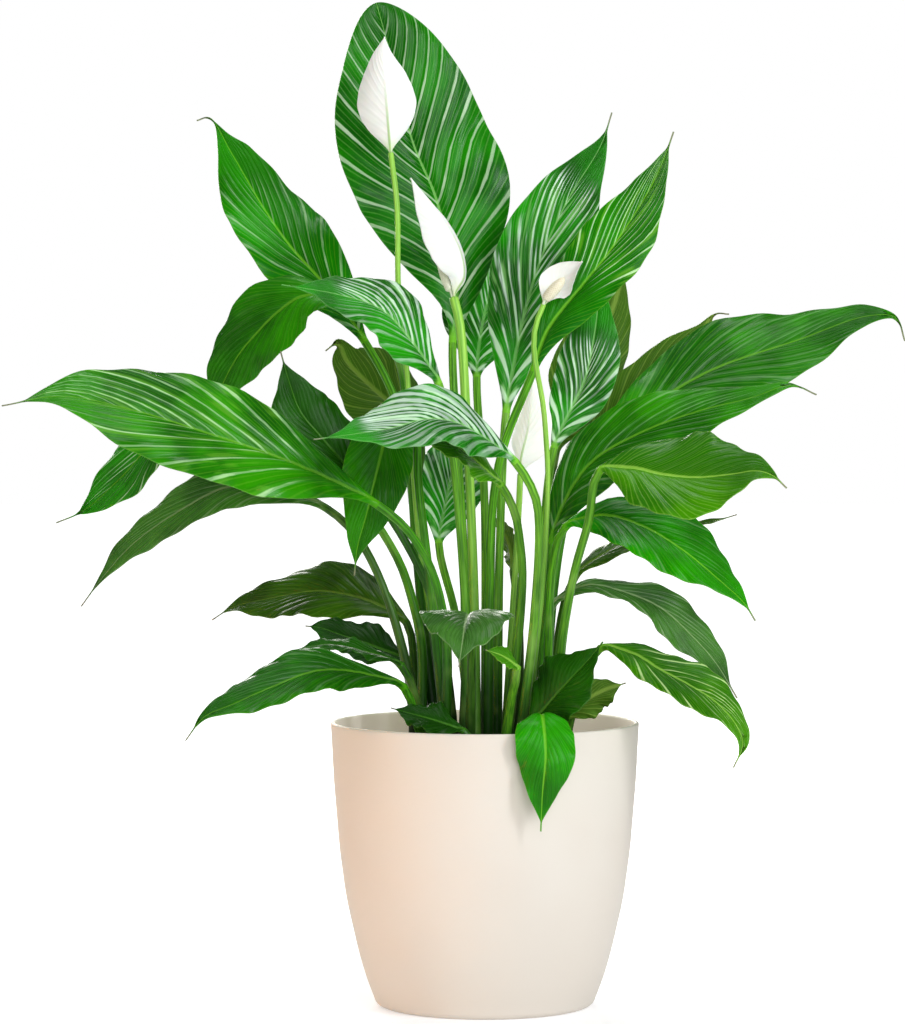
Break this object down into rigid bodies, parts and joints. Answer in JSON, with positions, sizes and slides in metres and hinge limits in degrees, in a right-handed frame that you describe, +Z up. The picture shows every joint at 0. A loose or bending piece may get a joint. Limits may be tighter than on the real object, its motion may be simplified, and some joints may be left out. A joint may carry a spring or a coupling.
{
  "type": "potted plant",
  "caption": "Peace lily with long glossy arching leaves and white hooded blooms on thin stalks, growing in a plain cream round pot that stands on a flat foot.",
  "frame": {"origin": "middle of the flat foot that the pot stands on", "axes": "+Z up, -Y toward the side that the picture shows, +X to the right as seen from that side"},
  "size_m": [0.5789, 0.3627, 0.6571],
  "materials": {
    "pot": "matte",
    "soil": "matte",
    "leaf": "satin",
    "stalk": "satin",
    "spathe": "matte",
    "spadix": "matte"
  },
  "bodies": {
    "root": {"pot": "pot", "soil": "soil", "leaf_top": "leaf", "leaf_left_upper": "leaf", "leaf_left_inner": "leaf", "leaf_left_drooping": "leaf", "leaf_left_long": "leaf", "leaf_left_far": "leaf", "leaf_left_hanging": "leaf", "leaf_left_olive": "leaf", "leaf_left_dark": "leaf", "leaf_left_narrow": "leaf", "leaf_left_low": "leaf", "leaf_left_rim": "leaf", "leaf_middle_arching": "leaf", "leaf_middle_under": "leaf", "leaf_left_peaked": "leaf", "leaf_back_left": "leaf", "leaf_front_nodding": "leaf", "leaf_front_small": "leaf", "leaf_middle_hanging": "leaf", "leaf_back_middle": "leaf", "leaf_back_small": "leaf", "leaf_right_upper": "leaf", "leaf_back_upper": "leaf", "leaf_right_inner": "leaf", "leaf_right_streaked": "leaf", "leaf_back_right": "leaf", "leaf_right_long": "leaf", "leaf_back_right_low": "leaf", "leaf_right_broad": "leaf", "leaf_right_lime": "leaf", "leaf_right_glossy": "leaf", "leaf_right_behind": "leaf", "leaf_right_twisted": "leaf", "leaf_right_low": "leaf", "leaf_front_dark": "leaf", "leaf_right_rim": "leaf", "leaf_over_rim": "leaf", "bloom_top_stalk": "stalk", "bloom_top_spathe": "spathe", "bloom_top_spadix": "spadix", "bloom_folded_stalk": "stalk", "bloom_folded_spathe": "spathe", "bloom_folded_spadix": "spadix", "bloom_small_stalk": "stalk", "bloom_small_spathe": "spathe", "bloom_small_spadix": "spadix", "bloom_inner_stalk": "stalk", "bloom_inner_spathe": "spathe", "bloom_inner_spadix": "spadix"}
  },
  "joints": []
}
